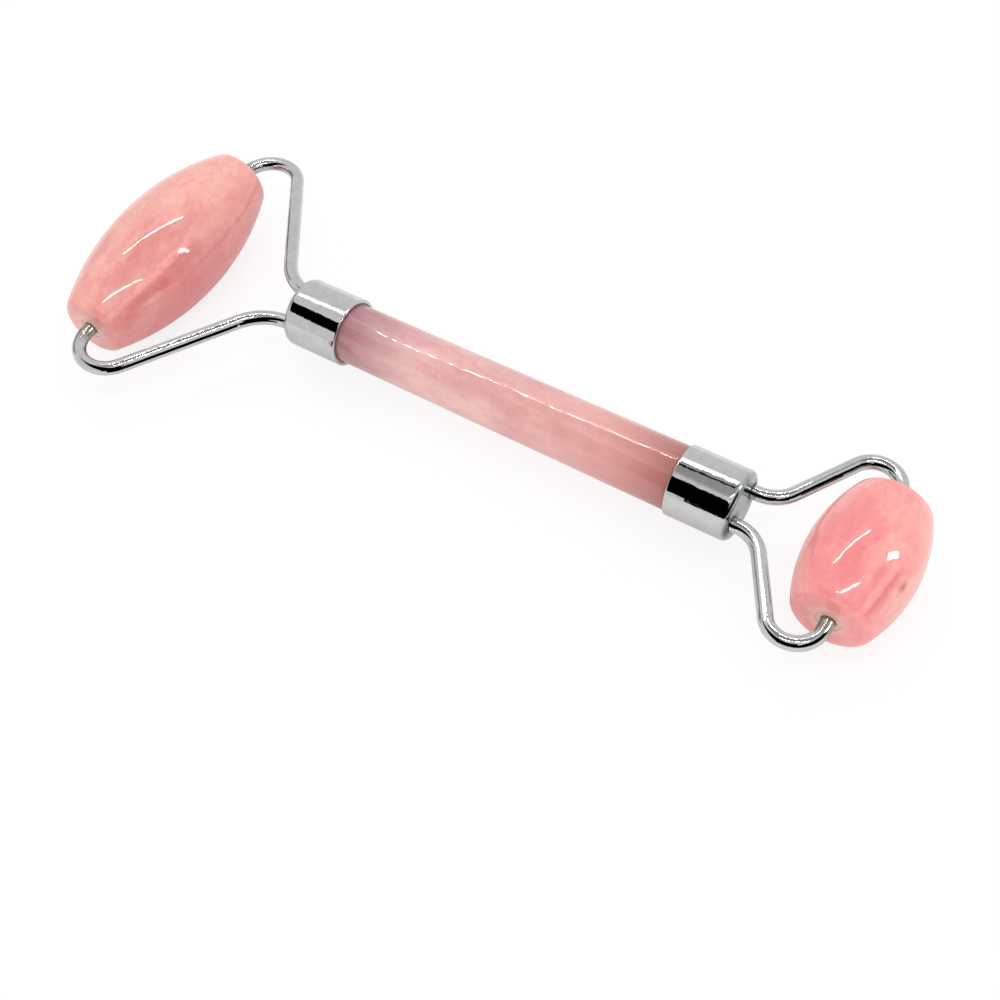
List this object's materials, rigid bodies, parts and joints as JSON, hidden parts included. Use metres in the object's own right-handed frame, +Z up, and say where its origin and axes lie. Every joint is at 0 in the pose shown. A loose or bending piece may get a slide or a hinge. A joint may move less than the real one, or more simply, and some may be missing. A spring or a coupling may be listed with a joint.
{
  "type": "face roller",
  "caption": "Double-ended face roller: a tapered stone handle with plated ferrules and a barrel-shaped stone turning in a wire fork at each end.",
  "frame": {"origin": "centre of the whole object's bounding box, which lies on the handle's axis", "axes": "+X along the handle towards the small roller, +Y to the left along the rollers' axes, +Z up with the fork arms level"},
  "size_m": [0.1438, 0.0548, 0.0192],
  "materials": {
    "handle_stone": "polished, translucent dusky pink quartz",
    "roller_stone": "polished, translucent salmon pink quartz with cloudy veins",
    "plated_ferrule": "mirror plating",
    "plated_wire": "mirror plating",
    "bushing": "pale translucent nylon",
    "resin": "hardened clear resin"
  },
  "bodies": {
    "handle": {"handle_stone": "handle_stone", "ferrule_large_end": "plated_ferrule", "ferrule_small_end": "plated_ferrule", "bonding_resin_large_end": "resin", "bonding_resin_small_end": "resin", "wire_arm_large_left": "plated_wire", "wire_arm_large_right": "plated_wire", "wire_arm_small_left": "plated_wire", "wire_arm_small_right": "plated_wire"},
    "large_roller": {"roller_stone_large": "roller_stone", "bushing_large_left": "bushing", "bushing_large_right": "bushing"},
    "small_roller": {"roller_stone_small": "roller_stone", "bushing_small_left": "bushing", "bushing_small_right": "bushing"}
  },
  "joints": [
    {"name": "large_roller_spin", "type": "hinge", "parent": "handle", "child": "large_roller", "pos_m": [-0.06232, 0, 0], "axis": [0, 1, 0], "continuous": true},
    {"name": "small_roller_spin", "type": "hinge", "parent": "handle", "child": "small_roller", "pos_m": [0.06358, 0, 0], "axis": [0, 1, 0], "continuous": true}
  ]
}
